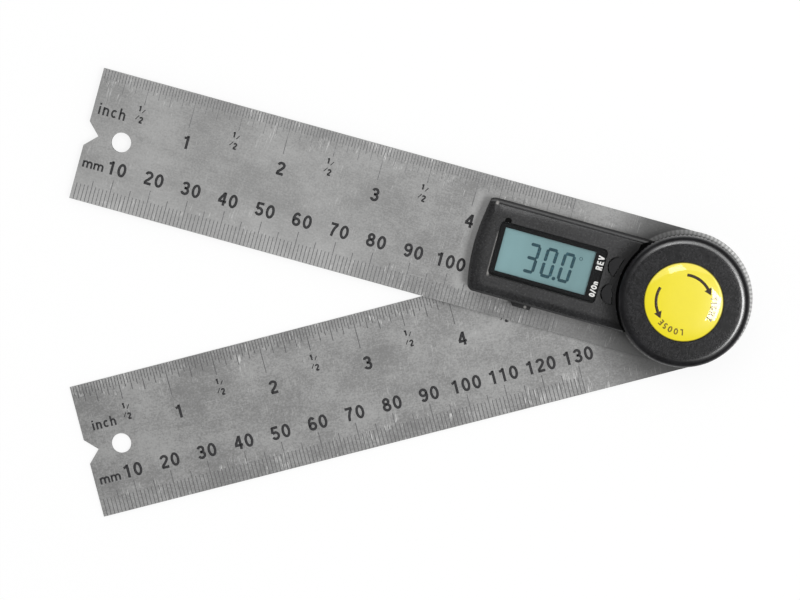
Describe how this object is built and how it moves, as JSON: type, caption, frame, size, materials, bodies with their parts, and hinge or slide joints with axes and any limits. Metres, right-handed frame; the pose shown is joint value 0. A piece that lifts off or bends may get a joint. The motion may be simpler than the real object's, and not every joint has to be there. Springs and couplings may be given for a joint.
{
  "type": "digital angle finder with arms",
  "caption": "Digital angle finder: two flat steel rule arms on a common pivot, with a display housing on the upper arm and a serrated lock knob over the pivot.",
  "frame": {"origin": "on the pivot axis, in the plane of the underside of the plain arm and the stud head", "axes": "+Z along the pivot towards the knob, +X along the housing arm towards its free end, and the plain arm opened 30 degrees from +X about +Z"},
  "size_m": [0.1785, 0.1132, 0.0167],
  "materials": {
    "blade_steel": "satin rolled stainless steel with fine mottling and light scratches",
    "stud_steel": "turned or stamped bright steel",
    "brass": "turned brass",
    "nylon": "natural nylon",
    "black_plastic": "black moulded plastic with a fine satin grain",
    "button_plastic": "black moulded plastic, a little smoother than the housing",
    "dark_parts": "black moulded or printed parts",
    "board": "green solder mask",
    "display": "blue-green reflective display with dark segments",
    "clear_window": "clear window",
    "elastomer": "striped silicone contact strip",
    "label_yellow": "yellow domed label with dark arrows"
  },
  "bodies": {
    "lower_arm": {"lower_blade": "blade_steel", "pivot_stud": "stud_steel", "friction_washer": "nylon", "encoder_rotor": "board", "retaining_ring": "stud_steel"},
    "upper_arm": {"upper_blade": "blade_steel", "pivot_bush": "brass", "housing_cover": "black_plastic", "window_lens": "clear_window", "lens_gasket": "dark_parts", "lcd_glass": "display", "lcd_connector": "elastomer", "battery_guide": "nylon", "circuit_board": "board", "counter_chip": "dark_parts", "contact_negative": "stud_steel", "contact_positive": "stud_steel", "switch_zero": "dark_parts", "switch_reverse": "dark_parts", "housing_screw_1": "stud_steel", "housing_screw_2": "stud_steel", "housing_screw_3": "stud_steel", "housing_screw_4": "stud_steel", "board_screw_1": "stud_steel", "board_screw_2": "stud_steel"},
    "battery_drawer": {"battery_tray": "black_plastic", "coin_cell": "stud_steel"},
    "zero_button": {"button_zero": "button_plastic"},
    "reverse_button": {"button_reverse": "button_plastic"},
    "knob_ring": {"knob_washer": "nylon"},
    "knob": {"lock_knob": "black_plastic", "knob_insert": "brass", "knob_label": "label_yellow"}
  },
  "joints": [
    {"name": "arm_pivot", "type": "hinge", "parent": "lower_arm", "child": "upper_arm", "pos_m": [0, 0, 0], "axis": [0, 0, 1], "continuous": true},
    {"name": "knob_lift", "type": "slide", "parent": "lower_arm", "child": "knob_ring", "axis": [0, 0, 1], "range_m": [0, 0.00075]},
    {"name": "knob_turn", "type": "hinge", "parent": "knob_ring", "child": "knob", "pos_m": [0, 0, 0], "axis": [0, 0, 1], "range_deg": [0, 270]},
    {"name": "battery_slide", "type": "slide", "parent": "upper_arm", "child": "battery_drawer", "axis": [0, 1, 0], "range_m": [0, 0.024]},
    {"name": "zero_press", "type": "slide", "parent": "upper_arm", "child": "zero_button", "axis": [0, 0, -1], "range_m": [0, 0.0004], "stiffness_N_per_m": 600, "springref_m": -0.0001},
    {"name": "reverse_press", "type": "slide", "parent": "upper_arm", "child": "reverse_button", "axis": [0, 0, -1], "range_m": [0, 0.0004], "stiffness_N_per_m": 600, "springref_m": -0.0001}
  ],
  "couplings": [
    {"joint": "knob_turn", "follows": "knob_lift", "rad_per_m": 6283.2}
  ]
}
